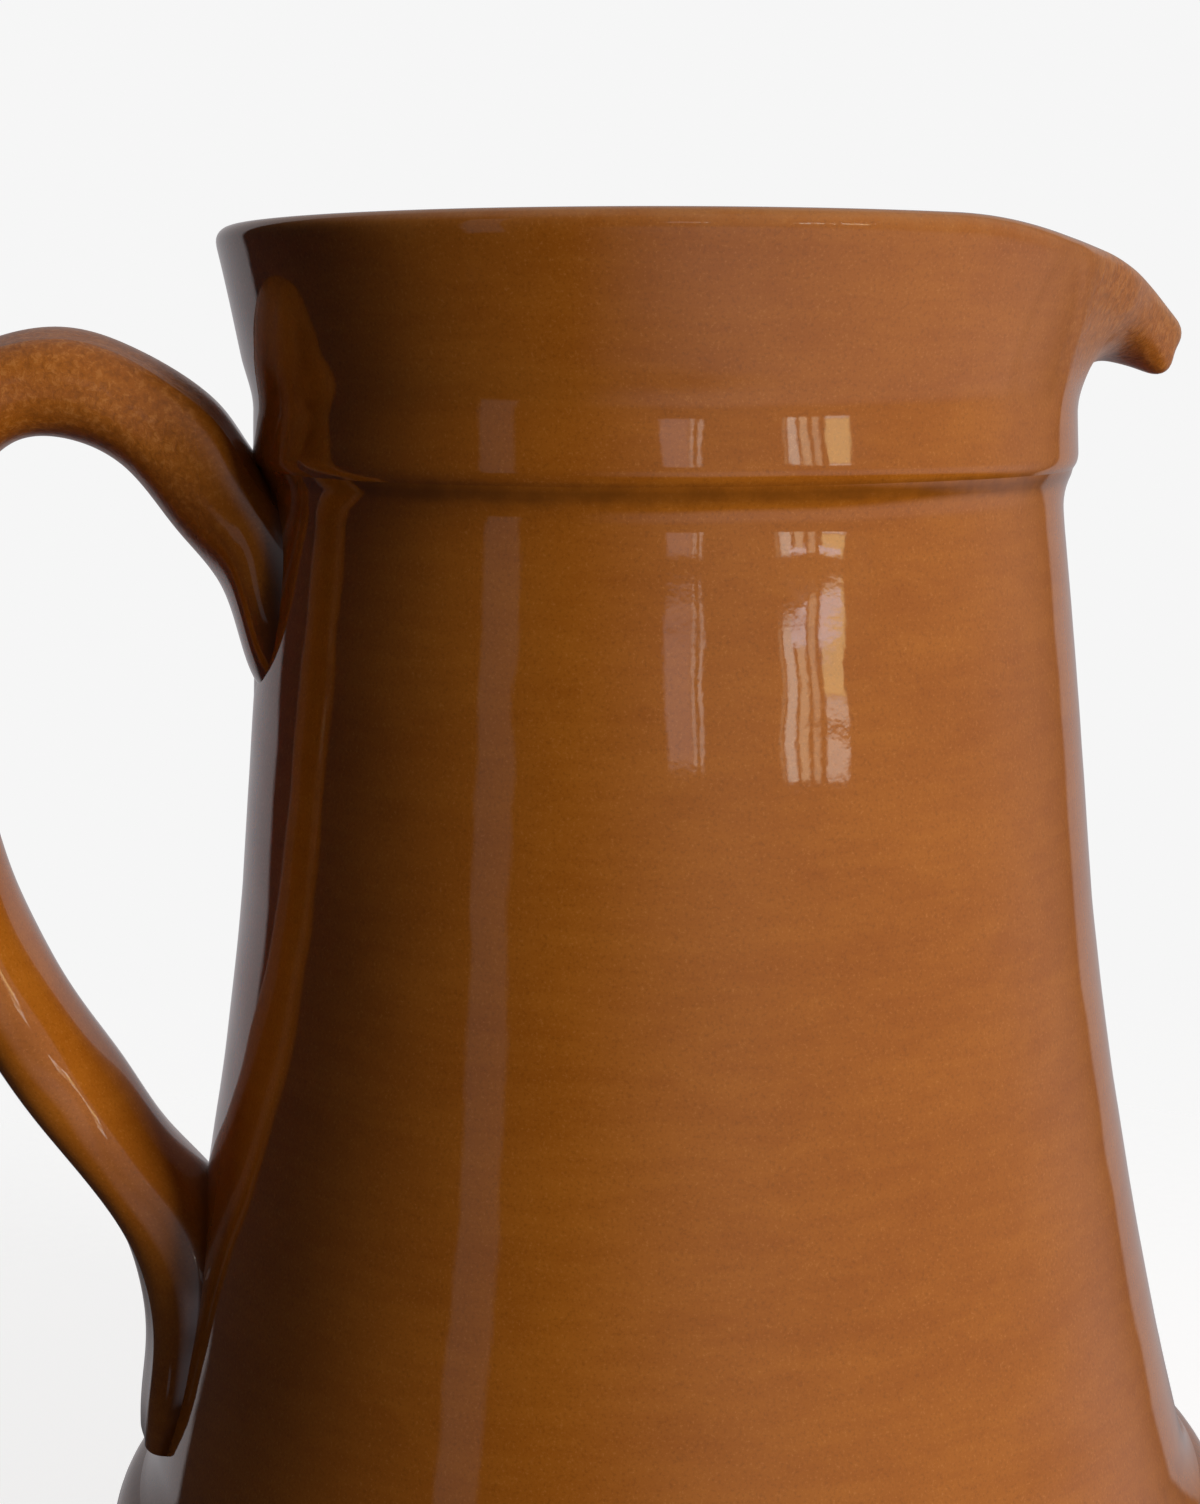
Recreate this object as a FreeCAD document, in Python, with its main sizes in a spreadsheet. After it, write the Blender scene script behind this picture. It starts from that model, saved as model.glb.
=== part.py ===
import FreeCAD, Part
import math
import os
import re
import Sketcher

# Ceramic pitcher, built the way a potter puts one together: a round floor, a belly and
# a tall bell-shaped wall thrown separately and stacked, a collar under the rim with a
# notch cut in it, a beak let into the notch, and a pulled handle pressed onto two pads
# of soft clay. +Z is up, +X points out of the beak, the handle is on -X, and the origin
# is the centre of the face that the pitcher stands on. Lengths are in millimetres.

SIZES = {
    "total_height": 245.0,
    "wall": 5.0,
    "rebate_depth": 2.0,
    # floor
    "foot_radius": 70.0,
    "foot_chamfer": 1.5,
    "foot_height": 6.0,
    "foot_top_radius": 71.0,
    "foot_wall": 8.0,
    # belly, from the foot up to the roll that the bell stands on
    "belly_radius": 89.6,
    "belly_height": 47.0,
    "belly_curve": 60.0,
    "roll_curve": 9.0,
    "seat_radius": 85.0,
    "seat_height": 55.0,
    # bell: a short skirt, a long hollow sweep, a straight cone and a cove under the ledge
    "skirt_radius": 81.4,
    "skirt_height": 62.0,
    "skirt_curve": 18.9,
    "cone_radius": 65.3,
    "cone_height": 147.0,
    "sweep_curve": 557.0,
    "neck_radius": 59.15,
    "neck_height": 204.5,
    "cove_curve": 10.7,
    "cove_radius": 61.0,
    # collar: upright above the ledge, then flared up to a rounded lip
    "ledge_height": 210.5,
    "ledge_chamfer": 0.8,
    "collar_radius": 61.5,
    "collar_wall": 4.5,
    "flare_height": 219.0,
    "rim_radius": 66.3,
    "lip_curve": 2.15,
    # beak: let into a notch as deep as the flare, drawn out and down to a point
    "notch_half_angle": 40.0,
    "beak_reach": 80.0,
    "beak_underside": 224.2,
    "beak_lip": 4.8,
    "beak_sharpness": 11.0,
    # handle and the pads that it is pressed onto
    "pad_thickness": 1.5,
    "upper_pad_height": 196.0,
    "upper_pad_half_height": 22.4,
    "upper_pad_half_width": 20.5,
    "lower_pad_height": 81.0,
    "lower_pad_half_height": 24.0,
    "lower_pad_half_width": 19.0,
    "handle_top": 231.3,
    "handle_bow": 121.0,
}

doc = FreeCAD.newDocument("Pitcher")
sheet = doc.addObject("Spreadsheet::Sheet", "Sizes")
for row, (alias, number) in enumerate(SIZES.items(), start=1):
    sheet.set("A%d" % row, alias.replace("_", " "))
    sheet.set("B%d" % row, str(number))
    sheet.setAlias("B%d" % row, alias)
doc.recompute()

sub_parts = []


def size(alias):
    """The number that a cell of the sheet holds."""
    return float(sheet.get(alias))


def bound(text):
    """An expression with every size name pointed at its cell."""
    return re.sub(r"[a-z_]+", lambda word: "Sizes." + word.group(0), text)


def origin_plane(body, role):
    """One of the three planes of a body's own origin."""
    return [plane for plane in body.Origin.OriginFeatures if plane.Role == role][0]


def along(start, end, share):
    """The point or number at a share of the way from start to end."""
    return start + (end - start) * share


def arc_middle(start, end, curve):
    """The middle point of the arc of radius |curve| from start to end.

    Seen along the way from start to end, a positive curve bulges to the right.
    """
    chord = end - start
    half = chord.Length / 2
    rise = abs(curve) - math.sqrt(curve * curve - half * half)
    right = FreeCAD.Vector(chord.y, -chord.x, 0).normalize()
    return (start + end) * 0.5 + right * math.copysign(rise, curve)


# ---------------------------------------------------------------- turned pieces


def new_sketch(body, name, role):
    """An empty sketch on one of the body's own planes."""
    sketch = body.newObject("Sketcher::SketchObject", name)
    sketch.AttachmentSupport = (origin_plane(body, role), [""])
    sketch.MapMode = "FlatFace"
    return sketch


def hold_corner(sketch, edge, end, across, up):
    """Tie one end of an edge to its distances from the sketch's two axes."""
    for kind, text, axis in (("DistanceX", across, -2), ("DistanceY", up, -1)):
        if text == "0":
            sketch.addConstraint(Sketcher.Constraint("PointOnObject", edge, end, axis))
            continue
        distance = sketch.evalExpression(bound(text))
        index = sketch.addConstraint(Sketcher.Constraint(kind, -1, 1, edge, end, float(distance)))
        sketch.setExpression("Constraints[%d]" % index, bound(text))


def draw_outline(sketch, corners):
    """A closed outline. Each corner is (across, up) or (across, up, turn, curve).

    The turn, +1 or -1, and the curve describe the arc that leaves the corner: +1 bulges
    to the right on the way to the next corner. Without them the edge is straight.
    """
    points = []
    for corner in corners:
        across, up = (float(sketch.evalExpression(bound(text) if text != "0" else text))
                      for text in corner[:2])
        points.append(FreeCAD.Vector(across, up, 0))
    starts, ends = [], []
    for index, corner in enumerate(corners):
        start = points[index]
        end = points[(index + 1) % len(points)]
        if len(corner) == 2:
            edge = sketch.addGeometry(Part.LineSegment(start, end), False)
            starts.append(1)
        else:
            turn, curve = corner[2:]
            middle = arc_middle(start, end, turn * size(curve))
            edge = sketch.addGeometry(Part.Arc(start, middle, end), False)
            first = sketch.getPoint(edge, 1)
            starts.append(1 if (first - start).Length < (first - end).Length else 2)
        ends.append(3 - starts[-1])
    for index, corner in enumerate(corners):
        following = (index + 1) % len(corners)
        sketch.addConstraint(
            Sketcher.Constraint("Coincident", index, ends[index], following, starts[following]))
    for index, corner in enumerate(corners):
        hold_corner(sketch, index, starts[index], corner[0], corner[1])
        if len(corner) == 4:
            radius = sketch.addConstraint(Sketcher.Constraint("Radius", index, size(corner[3])))
            sketch.setExpression("Constraints[%d]" % radius, bound(corner[3]))


def turned_piece(label, corners):
    """A body turned on the wheel: an outline revolved about the upright axis."""
    body = doc.addObject("PartDesign::Body", label)
    body.Label = label
    sketch = new_sketch(body, label + "_outline", "XZ_Plane")
    draw_outline(sketch, corners)
    turning = body.newObject("PartDesign::Revolution", label + "_turning")
    turning.Profile = sketch
    turning.ReferenceAxis = (sketch, ["V_Axis"])
    turning.Angle = 360
    body.Placement = FreeCAD.Placement()
    sub_parts.append(body)
    return body


# Floor: a slab with a flat underside. Its middle stands up inside the belly wall.
turned_piece("base", [
    ("0", "0"),
    ("foot_radius - foot_chamfer", "0"),
    ("foot_radius", "foot_chamfer"),
    ("foot_top_radius", "foot_height"),
    ("foot_top_radius - foot_wall", "foot_height"),
    ("foot_top_radius - foot_wall", "foot_height + rebate_depth"),
    ("0", "foot_height + rebate_depth"),
])

# Belly: bulges out from the foot and rolls over to the seat, where the inner half of
# the wall stands up as a tongue.
turned_piece("lower_body", [
    ("foot_top_radius", "foot_height", 1, "belly_curve"),
    ("belly_radius", "belly_height", 1, "roll_curve"),
    ("seat_radius", "seat_height"),
    ("seat_radius - wall / 2", "seat_height"),
    ("seat_radius - wall / 2", "seat_height + rebate_depth"),
    ("seat_radius - wall", "seat_height + rebate_depth"),
    ("seat_radius - wall", "seat_height", -1, "roll_curve"),
    ("belly_radius - wall", "belly_height", -1, "belly_curve"),
    ("foot_top_radius - foot_wall", "foot_height"),
])

# Bell: stands on the belly's seat round its tongue, and ends under the collar in a
# tongue of its own.
turned_piece("upper_body", [
    ("seat_radius", "seat_height", -1, "skirt_curve"),
    ("skirt_radius", "skirt_height", -1, "sweep_curve"),
    ("cone_radius", "cone_height"),
    ("neck_radius", "neck_height", -1, "cove_curve"),
    ("cove_radius", "ledge_height"),
    ("neck_radius - wall / 2", "ledge_height"),
    ("neck_radius - wall / 2", "ledge_height + rebate_depth"),
    ("neck_radius - wall", "ledge_height + rebate_depth"),
    ("neck_radius - wall", "neck_height"),
    ("cone_radius - wall", "cone_height", 1, "sweep_curve"),
    ("skirt_radius - wall", "skirt_height"),
    ("seat_radius - wall", "seat_height + rebate_depth"),
    ("seat_radius - wall / 2", "seat_height + rebate_depth"),
    ("seat_radius - wall / 2", "seat_height"),
])

# Collar: overhangs the neck as a ledge, and flares up to the rounded lip.
collar = turned_piece("collar", [
    ("neck_radius - wall / 2", "ledge_height"),
    ("collar_radius - ledge_chamfer", "ledge_height"),
    ("collar_radius", "ledge_height + ledge_chamfer"),
    ("collar_radius", "flare_height"),
    ("rim_radius", "total_height - lip_curve", 1, "lip_curve"),
    ("rim_radius - lip_curve * 2", "total_height - lip_curve"),
    ("collar_radius - collar_wall", "flare_height"),
    ("neck_radius - wall", "ledge_height + rebate_depth"),
    ("neck_radius - wall / 2", "ledge_height + rebate_depth"),
])

# The notch for the beak: a wedge about +X, cut down from the rim to where the flare
# starts, so that the collar stays a whole ring below it.
notch_outline = new_sketch(collar, "notch_outline", "XY_Plane")
notch_outline.setExpression(".AttachmentOffset.Base.z", "Sizes.flare_height")
notch_reach = 2 * size("rim_radius")
half_angle = math.radians(size("notch_half_angle"))
far_near = FreeCAD.Vector(notch_reach * math.cos(half_angle), -notch_reach * math.sin(half_angle), 0)
far_back = FreeCAD.Vector(far_near.x, -far_near.y, 0)
notch_outline.addGeometry(Part.LineSegment(FreeCAD.Vector(), far_near), False)
notch_outline.addGeometry(Part.LineSegment(far_near, far_back), False)
notch_outline.addGeometry(Part.LineSegment(far_back, FreeCAD.Vector()), False)
notch_outline.addConstraint([
    Sketcher.Constraint("Coincident", 0, 1, -1, 1),
    Sketcher.Constraint("Coincident", 0, 2, 1, 1),
    Sketcher.Constraint("Coincident", 1, 2, 2, 1),
    Sketcher.Constraint("Coincident", 2, 2, -1, 1),
    Sketcher.Constraint("Vertical", 1),
    Sketcher.Constraint("Equal", 0, 2),
])
reach = notch_outline.addConstraint(Sketcher.Constraint("Distance", 0, notch_reach))
notch_outline.setExpression("Constraints[%d]" % reach, "2 * Sizes.rim_radius")
opening = notch_outline.addConstraint(Sketcher.Constraint("Angle", 0, 1, 2, 2, 2 * half_angle))
notch_outline.setExpression("Constraints[%d]" % opening, "2 deg * Sizes.notch_half_angle")
doc.recompute()
ring_volume = collar.Shape.Volume
notch = collar.newObject("PartDesign::Pocket", "notch")
notch.Profile = notch_outline
notch.Reversed = True
notch.setExpression("Length", "Sizes.total_height - Sizes.flare_height + Sizes.rebate_depth")
doc.recompute()
if collar.Shape.Volume > 0.97 * ring_volume:
    raise RuntimeError("the notch cut nothing out of the collar")


# ---------------------------------------------------------------- pieces shaped by hand


def shaped_piece(label, shape):
    """A piece whose form is neither turned nor cut from a block."""
    piece = doc.addObject("Part::Feature", label)
    piece.Label = label
    piece.Shape = shape
    piece.Placement = FreeCAD.Placement()
    sub_parts.append(piece)
    return piece


def smooth_edge(points):
    """One smooth curve through the points."""
    curve = Part.BSplineCurve()
    curve.interpolate(points)
    return curve.toShape()


def beak_section(angle):
    """The beak's wall cut by an upright half-plane at an angle from +X.

    At the notch's sides it is the collar's own section. Towards the middle the outside
    leans out into a level underside, and the inside into a channel above it.
    """
    fade = size("beak_sharpness")
    edge = math.exp(-size("notch_half_angle") / fade)
    blunt = 1.5
    draw = math.exp(-(math.hypot(angle, blunt) - blunt) / fade)
    draw = max(0.0, (draw - edge) / (1 - edge))
    low = size("flare_height")
    underside = size("beak_underside")
    lip = size("beak_lip")
    tip = size("beak_reach") - lip / 2
    outer_foot = (size("collar_radius"), low)
    outer_rim = (size("rim_radius"), size("total_height") - size("lip_curve"))
    inner_rim = (size("rim_radius") - 2 * size("lip_curve"), outer_rim[1])
    inner_foot = (size("collar_radius") - size("collar_wall"), low)
    crest = ((outer_rim[0] + inner_rim[0]) / 2, size("total_height"))
    drawn_outside = [
        outer_foot,
        (outer_foot[0] + 2.6, low + 2.4),
        (outer_foot[0] + 5.2, underside),
        (tip - 6.5, underside + 0.4),
        (tip, underside),
    ]
    drawn_inside = [
        (tip - 1, underside + lip),
        (tip - 7, underside + lip + 1.0),
        (inner_foot[0] + 7.5, underside + lip - 0.6),
        (inner_foot[0] + 2.4, low + 5.6),
        inner_foot,
    ]
    outside, inside = [], []
    for index in range(5):
        share = index / 4
        for line, ends, drawn in ((outside, (outer_foot, outer_rim), drawn_outside),
                                  (inside, (inner_rim, inner_foot), drawn_inside)):
            plain_across = along(ends[0][0], ends[1][0], share)
            plain_up = along(ends[0][1], ends[1][1], share)
            line.append((along(plain_across, drawn[index][0], draw),
                         along(plain_up, drawn[index][1], draw)))
    lip_point = (along(crest[0], tip + lip / 2, draw), along(crest[1], underside + lip * 0.6, draw))
    turn = math.radians(angle)

    def place(point):
        return FreeCAD.Vector(point[0] * math.cos(turn), point[0] * math.sin(turn), point[1])

    outside = [place(point) for point in outside]
    inside = [place(point) for point in inside]
    rounding = Part.Arc(outside[-1], place(lip_point), inside[0]).toShape()
    floor = Part.LineSegment(inside[-1], outside[0]).toShape()
    return Part.Wire([smooth_edge(outside), rounding, smooth_edge(inside), floor])


# Beak: flat strips between sections that stand closer together near its point, where it
# turns fastest.
strips = 14
one_side = [size("notch_half_angle") * (step / strips) ** 1.4 for step in range(strips, 0, -1)]
beak_angles = [-angle for angle in one_side] + [0.0] + one_side[::-1]
shaped_piece("pouring_spout", Part.makeLoft([beak_section(angle) for angle in beak_angles], True, True))


def wall_core(offset):
    """The solid inside the wall's outer face between the seat and the flare, grown outwards."""
    def point(radius, height):
        return FreeCAD.Vector(size(radius) + offset, 0, size(height))

    def arc(start, end, curve):
        flat = [FreeCAD.Vector(end_point.x, end_point.z, 0) for end_point in (start, end)]
        middle = arc_middle(flat[0], flat[1], -size(curve))
        return Part.Arc(start, FreeCAD.Vector(middle.x, 0, middle.y), end).toShape()

    seat = point("seat_radius", "seat_height")
    skirt = point("skirt_radius", "skirt_height")
    cone = point("cone_radius", "cone_height")
    neck = point("neck_radius", "neck_height")
    cove = point("cove_radius", "ledge_height")
    ledge = point("collar_radius", "ledge_height")
    flare = point("collar_radius", "flare_height")
    top = FreeCAD.Vector(0, 0, flare.z)
    bottom = FreeCAD.Vector(0, 0, seat.z)
    edges = [
        arc(seat, skirt, "skirt_curve"),
        arc(skirt, cone, "sweep_curve"),
        Part.LineSegment(cone, neck).toShape(),
        arc(neck, cove, "cove_curve"),
        Part.LineSegment(cove, ledge).toShape(),
        Part.LineSegment(ledge, flare).toShape(),
        Part.LineSegment(flare, top).toShape(),
        Part.LineSegment(top, bottom).toShape(),
        Part.LineSegment(bottom, seat).toShape(),
    ]
    return Part.Face(Part.Wire(edges)).revolve(FreeCAD.Vector(), FreeCAD.Vector(0, 0, 1), 360)


def luting_pad(place):
    """A pad of soft clay on the wall: an oval patch of even thickness."""
    half_height = size(place + "_pad_half_height")
    half_width = size(place + "_pad_half_width")
    oval = Part.Ellipse(FreeCAD.Vector(), half_height, half_width).toShape()
    patch = Part.Face(Part.Wire([oval]))
    patch.rotate(FreeCAD.Vector(), FreeCAD.Vector(0, 1, 0), 90)
    patch.translate(FreeCAD.Vector(-2 * size("seat_radius"), 0, size(place + "_pad_height")))
    block = patch.extrude(FreeCAD.Vector(2 * size("seat_radius"), 0, 0))
    return block.common(wall_core(size("pad_thickness"))).cut(wall_core(0)).Solids[0]


shaped_piece("upper_luting_pad", luting_pad("upper"))
shaped_piece("lower_luting_pad", luting_pad("lower"))


def handle_section(outside, inside, width):
    """An oval across the handle, from a point on its back to one on its inside."""
    back = FreeCAD.Vector(-outside[0], 0, outside[1])
    palm = FreeCAD.Vector(-inside[0], 0, inside[1])
    middle = (back + palm) * 0.5
    side = middle + FreeCAD.Vector(0, width / 2, 0)
    if width > (back - palm).Length:
        oval = Part.Ellipse(side, back, middle)
    else:
        oval = Part.Ellipse(back, side, middle)
    return Part.Wire([oval.toShape()])


def handle():
    """A strap pulled from a roll of clay: up out of the neck, over, down and onto the skirt."""
    top = size("handle_top")
    bow = size("handle_bow")
    sections = [
        # back of the handle, inside of the handle, width
        ((54.0, 205.0), (54.0, 172.0), 37.0),
        ((61.0, 212.5), (62.2, 178.0), 34.0),
        ((66.5, top - 11.0), (67.0, 192.5), 29.0),
        ((72.5, top - 6.2), (74.0, 202.0), 26.0),
        ((80.0, top - 2.2), (81.5, 211.5), 25.0),
        ((91.0, top), (91.5, top - 15.6), 24.5),
        ((bow - 17.5, top - 3.5), (97.5, top - 17.4), 24.5),
        ((bow - 5.0, top - 15.8), (102.5, top - 24.5), 25.0),
        ((bow, top - 35.0), (104.6, top - 36.5), 25.5),
        ((bow - 0.8, 174.0), (103.8, 176.5), 26.0),
        ((bow - 5.5, 148.5), (99.4, 154.0), 26.0),
        ((106.0, 125.6), (91.0, 133.6), 26.0),
        ((97.0, 111.5), (82.6, 120.0), 26.5),
        ((88.4, 99.5), (75.6, 108.0), 28.0),
        ((83.2, 88.5), (67.0, 94.0), 31.0),
        ((81.9, 77.0), (67.0, 79.0), 32.0),
        ((82.9, 66.0), (70.0, 66.5), 31.0),
        ((83.0, 61.0), (74.0, 60.0), 27.0),
    ]
    strap = Part.makeLoft([handle_section(*section) for section in sections], True, False)
    return strap.cut(wall_core(size("pad_thickness"))).Solids


pulled = handle()
pulled.sort(key=lambda solid: solid.Volume)
shaped_piece("handle", pulled[-1])

# ---------------------------------------------------------------- check and write

doc.recompute()
for item in doc.Objects:
    for problem in ("Invalid", "Error"):
        if problem in item.State:
            raise RuntimeError("%s is %s" % (item.Name, problem))
for piece in sub_parts:
    shape = piece.Shape
    if shape.isNull() or not shape.isValid() or len(shape.Solids) != 1:
        raise RuntimeError("%s isn't one sound solid" % piece.Label)

os.makedirs("parts", exist_ok=True)
for piece in sub_parts:
    piece.Shape.exportStep("parts/%s.step" % piece.Label)
    box = piece.Shape.BoundBox
    print("%-18s %9.0f mm3  x %7.1f %7.1f  y %6.1f %6.1f  z %6.1f %6.1f" % (
        piece.Label, piece.Shape.Volume, box.XMin, box.XMax, box.YMin, box.YMax, box.ZMin, box.ZMax))
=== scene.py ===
import math

import bpy
import numpy as np
from mathutils import Matrix, Vector


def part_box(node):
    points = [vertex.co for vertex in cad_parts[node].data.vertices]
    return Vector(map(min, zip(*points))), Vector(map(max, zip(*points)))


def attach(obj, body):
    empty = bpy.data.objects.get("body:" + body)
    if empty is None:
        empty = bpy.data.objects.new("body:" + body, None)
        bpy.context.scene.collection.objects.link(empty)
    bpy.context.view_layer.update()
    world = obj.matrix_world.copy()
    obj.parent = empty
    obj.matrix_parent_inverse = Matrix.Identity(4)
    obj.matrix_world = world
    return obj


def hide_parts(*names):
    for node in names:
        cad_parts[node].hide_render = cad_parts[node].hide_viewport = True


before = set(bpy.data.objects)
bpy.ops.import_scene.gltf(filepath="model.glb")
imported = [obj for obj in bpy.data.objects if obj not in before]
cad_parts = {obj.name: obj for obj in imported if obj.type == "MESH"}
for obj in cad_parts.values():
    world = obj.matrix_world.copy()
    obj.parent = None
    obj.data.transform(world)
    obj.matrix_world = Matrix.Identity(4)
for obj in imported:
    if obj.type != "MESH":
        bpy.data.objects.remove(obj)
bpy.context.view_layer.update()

# The pitcher's surface is worked out in millimetres, as distance from the upright axis,
# height and angle about the axis, and handed to Blender in metres.
MM = 0.001
ROOT = "root"
SEED = 11
rng = np.random.default_rng(SEED)


def box_mm(node):
    """The lowest and highest corner of a CAD node, in millimetres."""
    low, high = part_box(node)
    return np.array(low) / MM, np.array(high) / MM


base_high = box_mm("base")[1]
belly_low, belly_high = box_mm("lower_body")
bell_low, bell_high = box_mm("upper_body")
collar_low, collar_high = box_mm("collar")
spout_low, spout_high = box_mm("pouring_spout")

REBATE = 2.0
WALL = 5.0
FOOT_HEIGHT = belly_low[2]
FOOT_TOP_RADIUS = base_high[0]
FLOOR_HEIGHT = base_high[2]
FLOOR_RADIUS = FOOT_TOP_RADIUS - 8.0
BELLY_RADIUS = belly_high[0]
BELLY_HEIGHT = 47.0
SEAT_HEIGHT = bell_low[2]
SEAT_RADIUS = bell_high[0]
SKIRT = (81.4, 62.0)
CONE = (65.3, 147.0)
NECK = (59.15, 204.5)
LEDGE_HEIGHT = collar_low[2]
COLLAR_RADIUS = 61.5
COLLAR_WALL = 4.5
FLARE_HEIGHT = spout_low[2]
RIM_RADIUS = collar_high[1]
RIM_HEIGHT = collar_high[2]
LIP = 2.15
SPOUT_HALF_ANGLE = 40.0
SPOUT_REACH = spout_high[0]

# ---------------------------------------------------------------- curves


def arc(start, end, curve, count=40):
    """Points on the arc of radius |curve| from start to end; a positive curve bulges to the right."""
    start, end = np.array(start, float), np.array(end, float)
    chord = end - start
    half = np.linalg.norm(chord) / 2
    right = np.array([chord[1], -chord[0]]) / (2 * half)
    sign = math.copysign(1.0, curve)
    centre = (start + end) / 2 - sign * right * math.sqrt(curve * curve - half * half)
    first = math.atan2(*(start - centre)[::-1])
    turn = 2 * math.asin(half / abs(curve)) * sign
    angles = first + turn * np.linspace(0, 1, count)
    return centre + abs(curve) * np.c_[np.cos(angles), np.sin(angles)]


def evenly(points, step):
    """The same polyline with its points a step apart."""
    points = np.array(points, float)
    lengths = np.r_[0, np.cumsum(np.linalg.norm(np.diff(points, axis=0), axis=1))]
    count = max(2, int(round(lengths[-1] / step)) + 1)
    places = np.linspace(0, lengths[-1], count)
    return np.stack([np.interp(places, lengths, column) for column in points.T], axis=1)


def rounded(points, softness, step=0.2):
    """A polyline with its corners rounded off over a softness, its two ends kept in place."""
    fine = evenly(points, step)
    reach = int(4 * softness / step)
    offsets = np.arange(-reach, reach + 1) * step
    weights = np.exp(-0.5 * (offsets / softness) ** 2)
    weights /= weights.sum()
    before = 2 * fine[0] - fine[reach:0:-1]
    after = 2 * fine[-1] - fine[-2:-reach - 2:-1]
    padded = np.vstack([before, fine, after])
    return np.stack([np.convolve(column, weights, "valid") for column in padded.T], axis=1)


def spline(knots, values, places):
    """A natural cubic spline through the values at the knots, read at the places."""
    knots, values, places = np.array(knots, float), np.array(values, float), np.asarray(places, float)
    gaps = np.diff(knots)
    count = len(knots)
    matrix, right = np.eye(count), np.zeros((count,) + values.shape[1:])
    slopes = (np.diff(values, axis=0).T / gaps).T
    for index in range(1, count - 1):
        before, after = gaps[index - 1], gaps[index]
        matrix[index, index - 1:index + 2] = before, 2 * (before + after), after
        right[index] = 6 * (slopes[index] - slopes[index - 1])
    bends = np.linalg.solve(matrix, right)
    span = np.clip(np.searchsorted(knots, places) - 1, 0, count - 2)
    gap = gaps[span]
    left, ahead = (places - knots[span]), (knots[span + 1] - places)
    shape = (-1,) + (1,) * (values.ndim - 1)
    left, ahead, gap = left.reshape(shape), ahead.reshape(shape), gap.reshape(shape)
    return ((bends[span] * ahead ** 3 + bends[span + 1] * left ** 3) / (6 * gap)
            + (values[span] / gap - bends[span] * gap / 6) * ahead
            + (values[span + 1] / gap - bends[span + 1] * gap / 6) * left)


def ease(value):
    """0 below 0, 1 above 1 and smooth between."""
    value = np.clip(value, 0, 1)
    return value * value * (3 - 2 * value)


# ---------------------------------------------------------------- outlines

UPPER_BELL = [(64.12, 160.4), (62.95, 172.6), (61.80, 184.5), (61.15, 190.5), (60.35, 197.5), (59.90, 201.8),
              (59.70, 204.4)]
COLLAR_FLARE = [(61.62, 213.6), (61.32, 220.4), (61.70, 222.4), (62.25, 224.6), (63.15, 228.8),
                (64.28, 234.1), (65.55, 239.8)]
outer_outline = rounded(np.vstack([
    arc((FOOT_TOP_RADIUS, FOOT_HEIGHT), (BELLY_RADIUS, BELLY_HEIGHT), 60.0),
    arc((BELLY_RADIUS, BELLY_HEIGHT), (SEAT_RADIUS, SEAT_HEIGHT), 9.0),
    arc((SEAT_RADIUS, SEAT_HEIGHT), SKIRT, -18.9),
    arc(SKIRT, CONE, -557.0),
    UPPER_BELL[:-1],
    arc(UPPER_BELL[-1], (60.9, LEDGE_HEIGHT - 0.5), -9.5),
    [(60.75, LEDGE_HEIGHT), (61.35, LEDGE_HEIGHT + 0.5), (61.68, LEDGE_HEIGHT + 1.8)],
    COLLAR_FLARE,
    [(RIM_RADIUS, RIM_HEIGHT - LIP)],
]), 0.38)

inner_outline = rounded(np.vstack([
    [(RIM_RADIUS - 2 * LIP, RIM_HEIGHT - LIP)],
    [(COLLAR_RADIUS - COLLAR_WALL + 0.4, FLARE_HEIGHT)],
    [(NECK[0] - WALL, LEDGE_HEIGHT - 2), (NECK[0] - WALL, NECK[1])],
    arc((CONE[0] - WALL, CONE[1]), (SKIRT[0] - WALL, SKIRT[1]), 557.0),
    [(SEAT_RADIUS - WALL, SEAT_HEIGHT)],
    [(BELLY_RADIUS - WALL, BELLY_HEIGHT)],
    arc((BELLY_RADIUS - WALL, BELLY_HEIGHT), (FLOOR_RADIUS, FOOT_HEIGHT), -60.0),
]), 2.0)


def between(outline, low, high):
    """The stretch of an outline between two heights, with a point exactly at each."""
    rising = outline[-1, 1] > outline[0, 1]
    line = outline if rising else outline[::-1]
    inside = line[(line[:, 1] > low + 0.05) & (line[:, 1] < high - 0.05)]
    ends = [(np.interp(height, line[:, 1], line[:, 0]), height) for height in (low, high)]
    stretch = np.vstack([ends[0], inside, ends[1]])
    return stretch if rising else stretch[::-1]


# ---------------------------------------------------------------- what the hand leaves behind


def waves(count, turns, lengths, spread):
    """Waves round and up the wall: turns about the axis, length upwards, phase, height."""
    return [(int(rng.integers(*turns)), rng.uniform(*lengths) * rng.choice((-1, 1)),
             rng.uniform(0, 2 * math.pi), spread * rng.normal()) for _ in range(count)]


def sum_of(group, angle, height):
    """The sum of a group of waves at an angle and height."""
    total = 0.0
    for turns, length, phase, size in group:
        total = total + size * np.sin(turns * angle + 2 * math.pi * height / length + phase)
    return total


LUMPS = waves(14, (2, 6), (60, 160), 0.022)
RIPPLES = waves(36, (5, 26), (12, 40), 0.0040)
RINGS = waves(9, (0, 2), (7, 24), 0.0045)
INNER_RINGS = waves(8, (0, 2), (6, 11), 0.07)
UNEVEN = waves(6, (2, 7), (900, 1000), 0.09)
# The belly stands this far inside the CAD's, so that its lumps don't leave the CAD's box.
CLEARANCE = 0.35
# How far the wall leans to one side at each height.
LEAN_HEIGHTS = (46.0, 60.0, 75.0, 110.0, 148.0, 178.0, 200.0, 219.0, 226.0, 243.0)
LEAN = (0.0, 0.9, 1.15, 0.65, 0.23, -0.22, -0.32, -0.45, -0.85, -0.60)
LEAN_BEARING = math.radians(-9.0)
# How far pressing the handle on pushed the wall in below its lower root.
PUSH, PUSH_HEIGHT, PUSH_SPREAD, PUSH_ANGLE = 1.7, 46.0, 9.0, 0.7
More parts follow.
